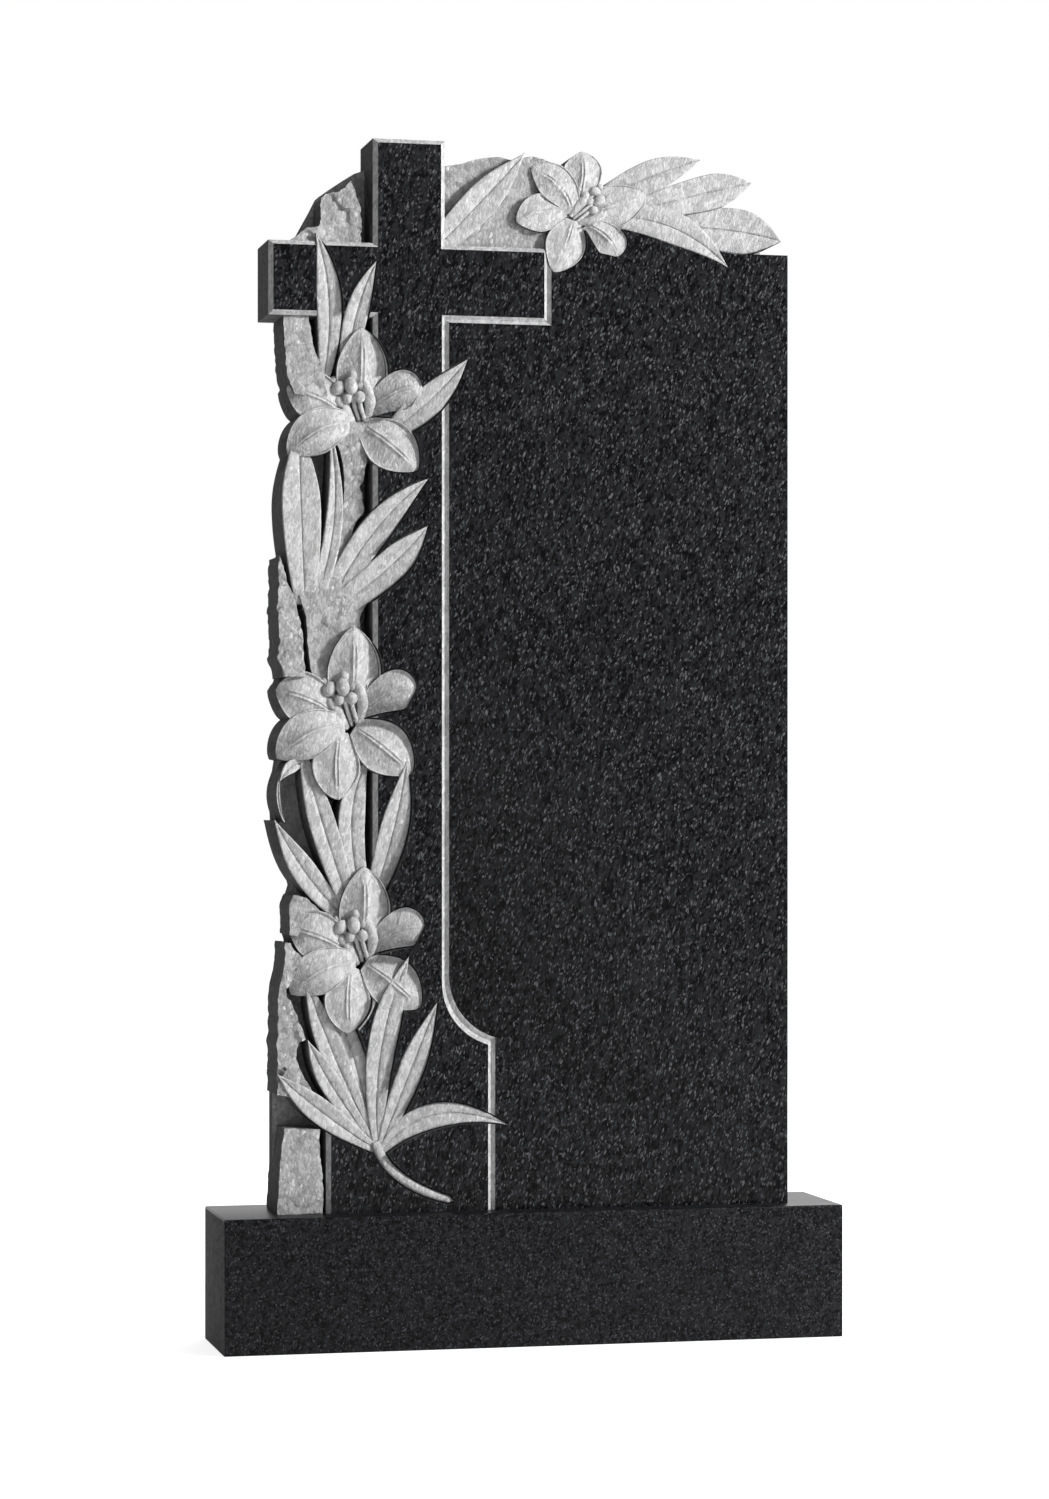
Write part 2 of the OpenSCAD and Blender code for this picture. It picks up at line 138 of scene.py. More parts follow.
# Each finish of the granite: its name, where it is, its ground, its dark crystals and its flecks
FINISH_COLOURS = {
    "polished": ("Polished", "the polished face",
                 (0.017, 0.0175, 0.0187), (0.001, 0.001, 0.0015), (0.125, 0.127, 0.132)),
    "plinth": ("Plinth", "the plinth",
               (0.017, 0.0175, 0.0187), (0.001, 0.001, 0.0015), (0.07, 0.071, 0.075)),
    "frosted": ("Frosted", "the sand-blasted carving", (0.64,) * 3, (0.44,) * 3, (0.78,) * 3),
    "broken": ("Broken", "the broken, rough stone", (0.5,) * 3, (0.33,) * 3, (0.72,) * 3),
    # sunk: paler than the pockets' stone would show, painted light that stands in for the light the deep
    # pockets don't get
    "sunk": ("Sunk", "the pockets' floors", (0.5, 0.5, 0.505), (0.34, 0.34, 0.343), (0.7,) * 3),
    # wall: darker than the frosted carving, painted shade that draws dark lines along the blades' edges,
    # and paler than the sawn stone, painted light in the deep pockets
    "wall": ("Wall", "the walls inside the carving", (0.22, 0.22, 0.222), (0.13, 0.13, 0.131), (0.36,) * 3),
    "sawn": ("Sawn", "the dull sides and back", (0.107, 0.107, 0.109), (0.066, 0.066, 0.067), (0.2,) * 3),
}


class HeadstoneColours(bpy.types.PropertyGroup):
    """Ground, dark crystals and flecks of each of the granite's finishes and of the painted sunk and wall
    tones, and the floor.
    """

    floor: colour("Floor", "Colour of the floor", (0.72, 0.72, 0.72))


for key, (title, where, ground, dark, fleck) in FINISH_COLOURS.items():
    HeadstoneColours.__annotations__.update({
        key: colour(title, "Ground colour of " + where, ground),
        key + "_dark": colour(title + " crystals", "Dark crystals in " + where, dark),
        key + "_fleck": colour(title + " flecks", "Pale flecks in " + where, fleck),
    })


# ---- The plan of the carving, in millimetres from the middle of the slab's foot ----

PLAN_LEFT, PLAN_RIGHT = -300, 300
PLAN_UP_L, PLAN_UP_W = -182, 82
PLAN_ARM_B, PLAN_ARM_T, PLAN_ARM_R = 1000, 1083, 18

# Each leaf: root, half way, tip, half-width, widest at, share of it at the root, depth at root,
# half way and tip
COLUMN_LEAVES = [
    ((-236, 925), (-231, 1014), (-247, 1092), 14, 0.5, 0.4, (20, 6, 1)),
    ((-209, 925), (-201, 1000), (-178, 1063), 13, 0.5, 0.5, (20, 5, 1)),
    ((-256, 680), (-262, 778), (-262, 880), 22, 0.55, 0.5, (20, 6, 28)),
    ((-252, 670), (-225, 770), (-230, 885), 10, 0.40, 0.8, (20, 9, 18)),
    ((-168, 868), (-118, 908), (-74, 956), 17, 0.45, 0.4, (18, 5, 1)),
    ((-232, 672), (-182, 758), (-119, 821), 17, 0.5, 0.6, (20, 6, 1)),
    ((-240, 664), (-172, 713), (-120, 768), 18, 0.60, 0.6, (20, 8, 1)),
    ((-206, 344), (-237, 430), (-262, 530), 15, 0.5, 0.7, (16, 6, 24)),
    ((-192, 350), (-205, 440), (-184, 508), 15, 0.5, 0.7, (15, 8, 14)),
    ((-178, 355), (-157, 430), (-144, 504), 16, 0.45, 0.6, (16, 6, 1)),
    ((-214, 332), (-256, 378), (-293, 438), 14, 0.5, 0.6, (20, 9, 3)),
    ((-256, 500), (-272, 498), (-286, 482), 7, 0.5, 0.25, (20, 12, 8)),
    ((-281, 436), (-288, 464), (-284, 492), 2, 0.5, 0.25, (8, 8, 10)),
    ((-178, 70), (-240, 113), (-290, 156), 14, 0.5, 0.35, (12, 6, 3)),
    ((-180, 76), (-225, 138), (-255, 193), 12, 0.55, 0.35, (14, 9, 6)),
    ((-179, 78), (-225, 176), (-256, 262), 14, 0.55, 0.35, (15, 10, 16)),
    ((-178, 86), (-202, 172), (-232, 262), 13, 0.5, 0.35, (16, 12, 18)),
    ((-174, 74), (-172, 182), (-141, 286), 16, 0.60, 0.35, (13, 5, 1)),
    ((-171, 74), (-141, 152), (-109, 234), 14, 0.55, 0.35, (12, 5, 1)),
    ((-172, 66), (-111, 107), (-28, 95), 14, 0.45, 0.3, (12, 5, 1)),
]
SPRAY_LEAVES = [
    ((78, 1140), (140, 1170), (197, 1190), 18, 0.5, 0.5, (14, 8, 3)),
    ((112, 1128), (196, 1151), (258, 1166), 20, 0.60, 0.5, (13, 6, 3)),
    ((160, 1114), (236, 1112), (293, 1100), 26, 0.55, 0.5, (14, 10, 3)),
    ((92, 1122), (166, 1112), (230, 1068), 19, 0.45, 0.6, (13, 5, 1)),
]
# This one comes out from behind the upright, so the upright isn't cut away round it
BEHIND_LEAF = ((-112, 1078), (-60, 1132), (-8, 1190), 19, 0.5, 0.6, (6, 3, 2))
# The twig that the lowest leaves grow from
TWIG = ((-178, 78), (-150, 38), (-90, 11), 5.5, 0.30, 0.9, (12, 5, 6))

# Each petal, from the middle of its bloom: root, half way, tip, half-width, widest at, depth at root,
# half way and tip, depth of the hollow on each side of its raised middle
PETALS = [
    ((1, 6), (2, 58), (0, 108), 29, 0.5, (34, 10, 5), 6),
    ((-14, 12), (-48, 30), (-82, 40), 27, 0.62, (26, 9, 20), 3.5),
    ((-6, 2), (-44, -6), (-80, -34), 25, 0.60, (20, 5, 22), 3.5),
    ((-12, -4), (-18, -42), (-15, -78), 26, 0.5, (20, 7, 8), 3.5),
    ((4, 0), (32, -21), (64, -50), 28, 0.52, (18, 6, 4), 4),
    ((12, 16), (42, 38), (69, 42), 22, 0.62, (28, 7.5, 3.5), 3.5),
]
# Each bloom: middle, size, turn in degrees, share of the full depth, petals that show
COLUMN_BLOOMS = [
    ((-195, 880), 1.00, 0, 1, (0, 1, 2, 4, 5)),
    ((-204, 542), 1.04, 0, 1, (0, 1, 2, 3, 4, 5)),
    ((-192, 278), 1.00, 0, 1, (0, 1, 2, 3, 4, 5)),
]
SPRAY_BLOOMS = [((48, 1120), 0.83, -72, 0.4, (0, 1, 2, 3, 4, 5))]

# Each anther, from the middle of the bloom: place, way it points, half-length, half-width, depth
ANTHERS = [
    ((-37, 33), 100, 7.5, 6.0, 17), ((-34, 22), 140, 7.0, 5.6, 20), ((-25, 41), 60, 8.5, 6.8, 12),
    ((-11, 43), 100, 10.0, 7.4, 8), ((-9, 55), 90, 6.0, 5.4, 11), ((-1, 31), 90, 7.0, 6.4, 9),
    ((-14, 30), 90, 6.5, 5.8, 12), ((-23, 26), 110, 7.0, 6.0, 17), ((-29, 50), 60, 5.0, 4.6, 18),
    ((1, 44), 70, 6.0, 5.2, 12),
]
# Each thick filament: path as x, height and depth, and the half-width along it
FILAMENTS = [
    (((2, 54, 13), (7, 42, 10), (12, 26, 13), (10, 8, 24)), (3.0, 6.0, 6.5, 4.5)),
    (((-21, 30, 20), (-17, 20, 20), (-10, 8, 24), (-3, -1, 28)), (5.0, 7.5, 6.5, 4.0)),
    (((-9, 34, 10), (-6, 22, 15), (-1, 10, 20), (2, 2, 25)), (2.2, 2.4, 2.2, 2.0)),
    (((-1, 26, 11), (2, 17, 14), (6, 8, 19), (8, 0, 25)), (2.6, 2.4, 2.2, 2.0)),
    (((-30, 30, 20), (-22, 22, 24), (-12, 12, 28), (-4, 4, 30)), (3.0, 3.0, 3.0, 3.0)),
    (((-22, 40, 14), (-16, 28, 20), (-8, 14, 25), (-1, 4, 28)), (2.6, 2.6, 2.4, 2.2)),
]

# Each rock: depth, share of the full roughness, outline
COLUMN_ROCKS = [
    (4, 0.5, (
        (-283, 96), (-282, 90), (-285, 70), (-288, 40), (-290, 0), (-239, 0), (-238, 20), (-239, 40),
        (-241, 60), (-243, 80), (-242, 94))),
    (8, 1, (
        (-281, 302), (-274, 300), (-262, 284), (-270, 265), (-279, 250), (-278, 240), (-272, 233),
        (-268, 220), (-262, 206), (-258, 195), (-265, 190), (-268, 180), (-266, 165), (-258, 150),
        (-248, 133), (-270, 128), (-289, 133), (-289, 180), (-288, 250), (-284, 262), (-281, 280))),
    (13, 0.6, (
        (-274, 310), (-275, 345), (-270, 355), (-256, 352), (-240, 337), (-226, 333), (-226, 306))),
    (7, 1, (
        (-287, 732), (-288, 720), (-287, 700), (-289, 680), (-288, 650), (-286, 635), (-289, 620),
        (-282, 598), (-258, 598), (-260, 630), (-262, 650), (-266, 670), (-270, 688), (-277, 700),
        (-283, 720))),
    (16, 0.5, (
        (-272, 708), (-262, 685), (-255, 665), (-254, 640), (-252, 620), (-246, 586), (-186, 586),
        (-183, 605), (-186, 622), (-193, 645), (-195, 662), (-192, 672), (-185, 683), (-195, 700),
        (-205, 715), (-222, 738), (-240, 748), (-256, 738))),
    (15, 0.5, (
        (-224, 870), (-214, 840), (-212, 815), (-214, 790), (-218, 760), (-224, 732), (-205, 730),
        (-203, 762), (-200, 770), (-192, 780), (-190, 785), (-192, 800), (-195, 812), (-190, 820),
        (-190, 828), (-187, 840), (-186, 860), (-190, 884), (-215, 884))),
    (8, 0.7, (
        (-282, 1003), (-281, 970), (-280, 945), (-277, 930), (-270, 912), (-234, 912), (-236, 937),
        (-240, 945), (-247, 960), (-250, 975), (-254, 1003))),
    (8, 1, (
        (-274, 1078), (-274, 1084), (-262, 1093), (-256, 1097), (-243, 1100), (-240, 1108), (-241, 1120),
        (-239, 1132), (-235, 1137), (-220, 1139), (-212, 1144), (-207, 1152), (-202, 1142), (-200, 1135),
        (-196, 1122), (-194, 1108), (-195, 1078))),
]
SPRAY_ROCKS = [
    (18, 0.4, (
        (-104, 1078), (-104, 1174), (-88, 1175), (-80, 1177), (-70, 1180), (-62, 1183), (-48, 1186),
        (-35, 1187), (-20, 1184), (-12, 1180), (-40, 1155), (-70, 1126), (-92, 1078))),
    (11, 0.3, (
        (-104, 1078), (-104, 1098), (-78, 1127), (-58, 1144), (-38, 1160), (-14, 1180), (-8, 1186),
        (2, 1188), (15, 1185), (28, 1180), (36, 1173), (60, 1150), (90, 1140), (90, 1100), (20, 1086),
        (20, 1078))),
]

# The stone left at the back of the pockets, inside the outline of the carving
BACK_COLUMN = [
    (-240, 0), (-287, 0), (-287, 160), (-285, 250), (-270, 285), (-272, 345), (-266, 365), (-286, 437),
    (-288, 468), (-282, 505), (-284, 520), (-268, 545), (-284, 590), (-280, 602), (-287, 620),
    (-286, 720), (-276, 745), (-279, 800), (-270, 850), (-254, 880), (-270, 905), (-276, 940),
    (-279, 1005), (-182, 1005),
]
# The panel rises a little higher behind the spray than it does where its top shows
PANEL_HIGH, PANEL_LOW = (150, 1112), (228, 1083)
BACK_CORNER = [
    (-262, 1078), (-258, 1097), (-242, 1126), (-235, 1140), (-224, 1148), (-208, 1159), (-194, 1168),
    (-183, 1172), (-176, 1172), (-176, 1078),
]
BACK_SPRAY = [
    (-104, 1078), (-104, 1172), (28, 1172), (60, 1165), (130, 1152), (200, 1140), (250, 1120),
    (284, 1096), (284, 1078),
]


class Plan:
    """The real slab in millimetres, and where the plan's points fall on it."""

    def __init__(self, scene):
        low, high = slab_low / MM, slab_high / MM
        self.left, self.right = low.x, high.x
        self.foot, self.top = low.z, high.z
        self.face = low.y
        self.thick = high.y - low.y
        for key in HeadstoneSizes.__annotations__:
            setattr(self, key, getattr(scene.headstone_sizes, key) / MM)
        self.mid = self.left + self.upright_x
        self.up_l = self.mid - self.upright_w / 2
        self.up_r = self.mid + self.upright_w / 2
        self.arm_r = self.mid + self.upright_x
        self.arm_t = self.top - self.arm_drop
        self.arm_b = self.arm_t - self.arm_h
        reach = self.foot_w / 2 - self.upright_w / 2 - self.flare_r
        self.flare_z = self.foot_h + math.sqrt(self.flare_r ** 2 - reach ** 2)

    def column(self, p):
        """Where a point of the column of lilies falls."""
        x, z = p
        squeeze = (self.up_l - self.left) / (PLAN_UP_L - PLAN_LEFT) if x < PLAN_UP_L else 1
        rise = (self.arm_b - self.foot) / PLAN_ARM_B
        return np.array((self.up_l + (x - PLAN_UP_L) * squeeze,
                         self.foot + z * rise if z < PLAN_ARM_B else self.arm_b + z - PLAN_ARM_B))

    def spray(self, p):
        """Where a point of the spray on the arm falls."""
        x, z = p
        if x < PLAN_ARM_R:
            inner = PLAN_UP_L + PLAN_UP_W
            x = self.up_r + (x - inner) * (self.arm_r - self.up_r) / (PLAN_ARM_R - inner)
        else:
            x = self.arm_r + (x - PLAN_ARM_R) * (self.right - self.arm_r) / (PLAN_RIGHT - PLAN_ARM_R)
        return np.array((x, self.arm_t + z - PLAN_ARM_T))


# ---- Curves along and across a carved strip ----

def middle_line(a, v, b, t):
    """Points on the curve from a through v to b, and the unit vector to its right at each."""
    pull = 2 * v - (a + b) / 2
    t = t[:, None]
    line = (1 - t) ** 2 * a + 2 * t * (1 - t) * pull + t ** 2 * b
    way = (1 - t) * (pull - a) + t * (b - pull)
    way /= np.linalg.norm(way, axis=1)[:, None]
    return line, np.stack((way[:, 1], -way[:, 0]), axis=1)


def ease(d, t):
    """A value that is d[0] at the root, d[1] half way and d[2] at the tip."""
    return d[0] * (2 * t * t - 3 * t + 1) + 4 * d[1] * t * (1 - t) + d[2] * (2 * t * t - t)


def swell(width, peak, stem, end, t):
    """Half-width of a blade that is widest at peak; end sets how sharp its tip is."""
    rise = stem + (1 - stem) * np.sin(np.pi / 2 * t / peak)
    fall = np.clip(np.cos(np.pi / 2 * (t - peak) / (1 - peak)), 0, 1) ** end
    return np.where(t < peak, width * rise, np.maximum(TIP_HALF, width * fall))


def bump(x, half):
    """A smooth ridge of height 1 at x = 0 that ends at x = half."""
    return np.clip(1 - np.abs(x / half), 0, 1) ** 2 * (1 + 2 * np.clip(np.abs(x / half), 0, 1))


def turned(p, angle):
    """The point p turned about the middle of a bloom."""
    c, s = math.cos(math.radians(angle)), math.sin(math.radians(angle))
    return np.array((p[0] * c - p[1] * s, p[0] * s + p[1] * c))


# ---- Solids ----

def working(name):
    """The collection that holds the solids of one step until they are joined."""
    group = bpy.data.collections.get(name)
    if group is None:
        group = bpy.data.collections.new(name)
        bpy.context.scene.collection.children.link(group)
    return group


def outward(made):
    """Turns a closed solid's faces outward and splits its bent faces into triangles."""
    shape = bmesh.new()
    shape.from_mesh(made.data)
    bmesh.ops.triangulate(shape, faces=shape.faces, quad_method="SHORT_EDGE")
    bmesh.ops.recalc_face_normals(shape, faces=shape.faces)
    shape.to_mesh(made.data)
    shape.free()


def finish_all(mesh, finish):
    """Gives a mesh a slot for each finish of the granite, and all its faces one of them."""
    for name in FINISHES:
        mesh.materials.append(bpy.data.materials["granite " + name])
    mesh.polygons.foreach_set("material_index", np.full(len(mesh.polygons), finish, dtype=np.int32))


def solid(group, points, faces, finish):
    """One closed solid from points in millimetres as x, y, z."""
    mesh = bpy.data.meshes.new(group)
    mesh.from_pydata((np.asarray(points) * MM).tolist(), [], [list(f) for f in faces])
    finish_all(mesh, finish)
    mesh.update()
    made = bpy.data.objects.new(group, mesh)
    working(group).objects.link(made)
    outward(made)
    return made


def finish_walls(made, wall_finish):
    """Gives the walls and the back of a solid another finish than its front."""
    for face in made.data.polygons:
        if face.normal.y > -FACING:
            face.material_index = wall_finish


def strip(group, plan, ends, half, front, rows, cols, finish, rear=None, walls=PAINTED_WALL_TONE):
    """A closed strip that follows a curve; front and rear give depths behind the polished face.

    Without a rear it reaches the slab's back.
    """
    t = np.linspace(0, 1, rows + 1)
    u = np.asarray(cols, dtype=float)
    line, side = middle_line(*[np.asarray(p, dtype=float) for p in ends], t)
    wide = half(t)
    off = wide[:, None] * u[None, :]
    x = line[:, 0:1] + side[:, 0:1] * off
    z = line[:, 1:2] + side[:, 1:2] * off
    depth = np.broadcast_to(front(t[:, None], u[None, :], x, z, wide[:, None]), x.shape)
    back = np.broadcast_to(rear(t) if rear else plan.thick, t.shape)
    points = [np.stack((x, plan.face + depth, z), axis=2).reshape(-1, 3)]
    for j in (0, -1):
        points.append(np.stack((x[:, j], plan.face + back, z[:, j]), axis=1))
    points = np.concatenate(points)
    m, n = len(u), rows + 1
    left, right = m * n, m * n + n
    faces = []
    for i in range(rows):
        for j in range(m - 1):
            a = i * m + j
            faces.append((a, a + 1, a + m + 1, a + m))
        faces.append((left + i, left + i + 1, right + i + 1, right + i))
        faces.append((left + i, i * m, (i + 1) * m, left + i + 1))
        faces.append((i * m + m - 1, right + i, right + i + 1, (i + 1) * m + m - 1))
    faces.append([left, right] + list(range(m - 1, -1, -1)))
    last = rows * m
    faces.append(list(range(last, last + m)) + [right + rows, left + rows])
    # Its walls take the wall tone by default: painted shade and painted light
    finish_walls(solid(group, points, faces, finish), walls)


def plate(group, plan, outline, near, finish):
    """An outline as a plate, from a depth behind the polished face to the slab's back."""
    n = len(outline)
    points = [(x, plan.face + y, z) for y in (near, plan.thick) for x, z in outline]
    faces = [list(range(n)), list(range(2 * n - 1, n - 1, -1))]
    faces += [(i, n + i, n + (i + 1) % n, (i + 1) % n) for i in range(n)]
    made = solid(group, points, faces, finish)
    # Its walls take the wall tone: painted shade and painted light
    finish_walls(made, PAINTED_WALL_TONE)
    return made


def vee(group, plan, line, half):
    """A 45 degree groove along a line; on an edge it leaves a chamfer."""
    spread = half + PROUD
    for p, q in zip(line, line[1:]):
        shape = bmesh.new()
        for x, z in (p, q):
            shape.verts.new((x * MM, (plan.face + half) * MM, z * MM))
            for dx, dz in ((-1, -1), (1, -1), (1, 1), (-1, 1)):
                shape.verts.new(((x + dx * spread) * MM, (plan.face - PROUD) * MM, (z + dz * spread) * MM))
        bmesh.ops.convex_hull(shape, input=shape.verts)
        bmesh.ops.delete(shape, geom=[v for v in shape.verts if not v.link_faces], context="VERTS")
        bmesh.ops.triangulate(shape, faces=shape.faces)
        mesh = bpy.data.meshes.new(group)
        shape.to_mesh(mesh)
        shape.free()
        finish_all(mesh, FROSTED)
        working(group).objects.link(bpy.data.objects.new(group, mesh))


def tube(group, plan, path, radii, ring):
    """A round closed body along a path of x, depth, z points with a radius at each."""
    path = np.asarray(path, dtype=float)
    way = np.gradient(path, axis=0)
    way /= np.linalg.norm(way, axis=1)[:, None]
    level = np.array((0.0, 1.0, 0.0))
    points = []
    for p, d, r in zip(path, way, radii):
        a = np.cross(d, level)
        a /= np.linalg.norm(a)
        b = np.cross(d, a)
        for k in range(ring):
            turn = 2 * math.pi * k / ring
            points.append(p + r * (math.cos(turn) * a + math.sin(turn) * b))
    n = len(path)
    points += [path[0] - way[0] * radii[0] * TUBE_END, path[-1] + way[-1] * radii[-1] * TUBE_END]
    faces = []
    for i in range(n - 1):
        for k in range(ring):
            a, b = i * ring + k, i * ring + (k + 1) % ring
            faces.append((a, b, b + ring, a + ring))
    for k in range(ring):
        faces.append((n * ring, (k + 1) % ring, k))
        faces.append((n * ring + 1, (n - 1) * ring + k, (n - 1) * ring + (k + 1) % ring))
    points = np.asarray(points)
    points[:, 1] += plan.face
    solid(group, points, faces, FROSTED)


def carve(made, operation, group):
    """Cuts, adds or keeps what a group of solids covers, and removes the group."""
    change = made.modifiers.new(operation.lower(), "BOOLEAN")
    change.operation = operation
    change.operand_type = "COLLECTION"
    change.collection = working(group)
    change.solver = "MANIFOLD"
    bpy.context.view_layer.update()
    graph = bpy.context.evaluated_depsgraph_get()
    mesh = bpy.data.meshes.new_from_object(made.evaluated_get(graph))
    made.modifiers.clear()
    made.data = mesh
    if not mesh.polygons:
        raise RuntimeError(f"nothing is left of {made.name} after the group {group}")
    discard(group)


def discard(group):
    """Removes a working collection and its solids."""
    found = working(group)
    for o in list(found.objects):
        bpy.data.objects.remove(o)
    bpy.data.collections.remove(found)


# ---- The carving, with sizes in millimetres ----

def mirrored(*places):
    """Places across a blade, from its middle outward, on both sides."""
    return [-u for u in places[::-1]] + [0] + list(places)


LEAF_COLS = mirrored(0.05, 0.14, 0.3, 0.5, 0.7, 0.86, 0.95, 1)
TWIG_COLS = mirrored(0.4, 0.7, 0.9, 1)
PETAL_COLS = mirrored(0.04, 0.08, 0.13, 0.22, 0.38, 0.55, 0.7, 0.8, 0.87, 0.92, 0.95, 0.97, 1)
# The cut line along a leaf: depth and half-width
LEAF_LINE = (1.6, 1.3)
# A blade's rounded edge: how far it falls and over what width
LEAF_EDGE, PETAL_EDGE = (1.3, 1.6), (0.6, 0.8)
# How pointed a blade's tip is: 1 is sharp and 0 is square
LEAF_TIP, TWIG_TIP, PETAL_TIP = 1, 0.12, 0.7
TWIG_ROUND = 3
# A petal's width at its root, as a share of its full width
PETAL_ROOT = 0.35
# A petal's front from its middle to its edge: below 0 it stands out, and 1 is its hollow's full depth
PETAL_ACROSS = (0, 0.1, 0.45, 0.74, 0.87, 0.92, 0.95, 1)
PETAL_FALLS = (-0.7, -0.62, 0.1, 0.7, 0.8, 0.8, 0.15, 0)
# The two ribs of a petal: height, half-width and distance from its middle
RIB_HIGH, RIB_HALF, RIB_OFF = 1.5, 1.5, 1.9
# Least depth of a petal's front and of a stamen's middle
PETAL_LEAST, STAMEN_LEAST = 0.2, 7
ANTHER_STEPS, FILAMENT_STEPS = 9, 13
# Chips on broken stone: size of large and small ones, and the small ones' share of the height
CHIP, SMALL_CHIP, SMALL_SHARE = 26, 9, 0.3
# Ragged edge of broken stone: spacing and push of its points
RAGGED_STEP, RAGGED_PUSH = 4, 2.2
ROCK_MARGIN = 6


def hand_wander(x, z, size, height):
    """The slight unevenness of a surface cut by hand."""
    flat = np.array([noise.noise(Vector((a / size, 0.3, b / size))) for a, b in zip(x.ravel(), z.ravel())])
    return height * flat.reshape(x.shape)


def edge_fall(u, wide, edge):
    """How far the front falls away at a blade's rounded edges."""
    drop, width = edge
    return drop * np.clip((np.abs(u) * wide - (wide - width)) / width, 0, 1) ** 2


def blade(group, plan, ends, half, front, floor, rows, cols, cutting):
    """A leaf, a twig or a petal, or the clearance cut round it into the polished face."""
    if cutting:
        strip("cuts", plan, ends, lambda t: half(t) + plan.margin,
              lambda t, u, x, z, wide: -2 * plan.bevel, rows, (-1, 1), SAWN,
              rear=lambda t: floor(t) + plan.undercut, walls=SAWN)
    else:
        strip(group, plan, ends, half, front, rows, cols, FROSTED)


def leaf(plan, spec, place, rows, cutting):
    """One leaf with a valley and a cut line along it, or the clearance round it."""
    width, peak, stem, depths = spec[3:]

    def half(t):
        return swell(width, peak, stem, LEAF_TIP, t)

    def floor(t):
        return ease(depths, t)

    def front(t, u, x, z, wide):
        run = np.sin(np.pi * t)
        valley = plan.crease * (1 - np.abs(u)) ** 1.2 * run ** 0.6
        line = LEAF_LINE[0] * bump(u * wide, LEAF_LINE[1]) * np.clip(run * 3, 0, 1)
        roll = edge_fall(u, wide, LEAF_EDGE)
        return floor(t) + valley + line + roll + hand_wander(x, z, size=14, height=0.5) * run

    blade("leaves", plan, [place(p) for p in spec[:3]], half, front, floor, rows, LEAF_COLS, cutting)


def twig(plan, rows, cutting):
    """The twig with its round back and blunt end, or the clearance round it."""
    width, peak, stem, depths = TWIG[3:]

    def half(t):
        return swell(width, peak, stem, TWIG_TIP, t)

    def floor(t):
        return ease(depths, t)

    def front(t, u, x, z, wide):
        return floor(t) - TWIG_ROUND * np.sqrt(np.clip(1 - u * u, 0, 1))

    blade("leaves", plan, [plan.column(p) for p in TWIG[:3]], half, front, floor, rows, TWIG_COLS, cutting)


def leaves(plan, rows, cutting):
    """All the leaves and the twig, or the clearances round them."""
    for spec in COLUMN_LEAVES:
        leaf(plan, spec, plan.column, rows, cutting)
    for spec in SPRAY_LEAVES:
        leaf(plan, spec, plan.spray, rows, cutting)
    if not cutting:
        leaf(plan, BEHIND_LEAF, plan.spray, rows, cutting)
    twig(plan, rows, cutting)


def petal(plan, spec, middle, size, turn, deep, rows, cutting):
    """One petal with a thin rim, a hollow and a ribbed middle, or the clearance round it."""
    width, peak, depths, sunk = spec[3:]
    sunk = deep ** 0.5 * sunk

    def half(t):
        return size * swell(width, peak, PETAL_ROOT, PETAL_TIP, t)

    def floor(t):
        return deep * ease(depths, t) + sunk * np.sin(np.pi * t)

    def front(t, u, x, z, wide):
        run = np.sin(np.pi * t)
        hollow = sunk * np.interp(np.abs(u), PETAL_ACROSS, PETAL_FALLS) * run
        ribs = RIB_HIGH * (bump(u * wide - RIB_OFF, RIB_HALF) + bump(u * wide + RIB_OFF, RIB_HALF))
        fade = np.clip((t - 0.05) / 0.1, 0, 1) * np.clip((0.86 - t) / 0.12, 0, 1)
        roll = edge_fall(u, wide, PETAL_EDGE)
        wander = hand_wander(x, z, size=18, height=0.6) * run
        return np.maximum(PETAL_LEAST, deep * ease(depths, t) + hollow - ribs * fade + roll + wander)

    ends = [middle + size * turned(p, turn) for p in spec[:3]]
    blade("lilies", plan, ends, half, front, floor, rows, PETAL_COLS, cutting)


def blooms(plan):
    """Each bloom's middle on the real slab, size, turn, share of the full depth and petals."""
    found = [(plan.column(b[0]), *b[1:]) for b in COLUMN_BLOOMS]
    return found + [(plan.spray(b[0]), *b[1:]) for b in SPRAY_BLOOMS]


def stamens(plan, middle, size, turn, deep, ring):
    """The anthers of a bloom and the filaments that carry them out of its throat."""
    def spot(x, z, depth):
        at = middle + size * turned((x, z), turn)
        return at[0], max(deep * depth, STAMEN_LEAST), at[1]

    for (x, z), way, long, wide, depth in ANTHERS:
        s = np.linspace(-0.97, 0.97, ANTHER_STEPS)
        dx, dz = math.cos(math.radians(way)), math.sin(math.radians(way))
        path = [spot(x + k * long * dx, z + k * long * dz, depth) for k in s]
        tube("lilies", plan, path, size * wide * np.sqrt(1 - s ** 2), ring)
    for path, radii in FILAMENTS:
        fine = np.linspace(0, len(path) - 1, FILAMENT_STEPS)
        spots = np.array([spot(*p) for p in path])
        smooth = np.stack([np.interp(fine, range(len(path)), spots[:, k]) for k in range(3)], axis=1)
        smooth[1:-1] = (smooth[:-2] + 2 * smooth[1:-1] + smooth[2:]) / 4
        wide = size * np.interp(fine, range(len(path)), radii)
        wide[0] *= 0.5
        tube("lilies", plan, smooth, wide, ring)


def lilies(plan, detail, cutting):
    """All the blooms, or the clearances round their petals."""
    for middle, size, turn, deep, shown in blooms(plan):
        for i in shown:
            petal(plan, PETALS[i], middle, size, turn, deep, detail.petal_rows, cutting)
        if not cutting:
            stamens(plan, middle, size, turn, deep, detail.ring)


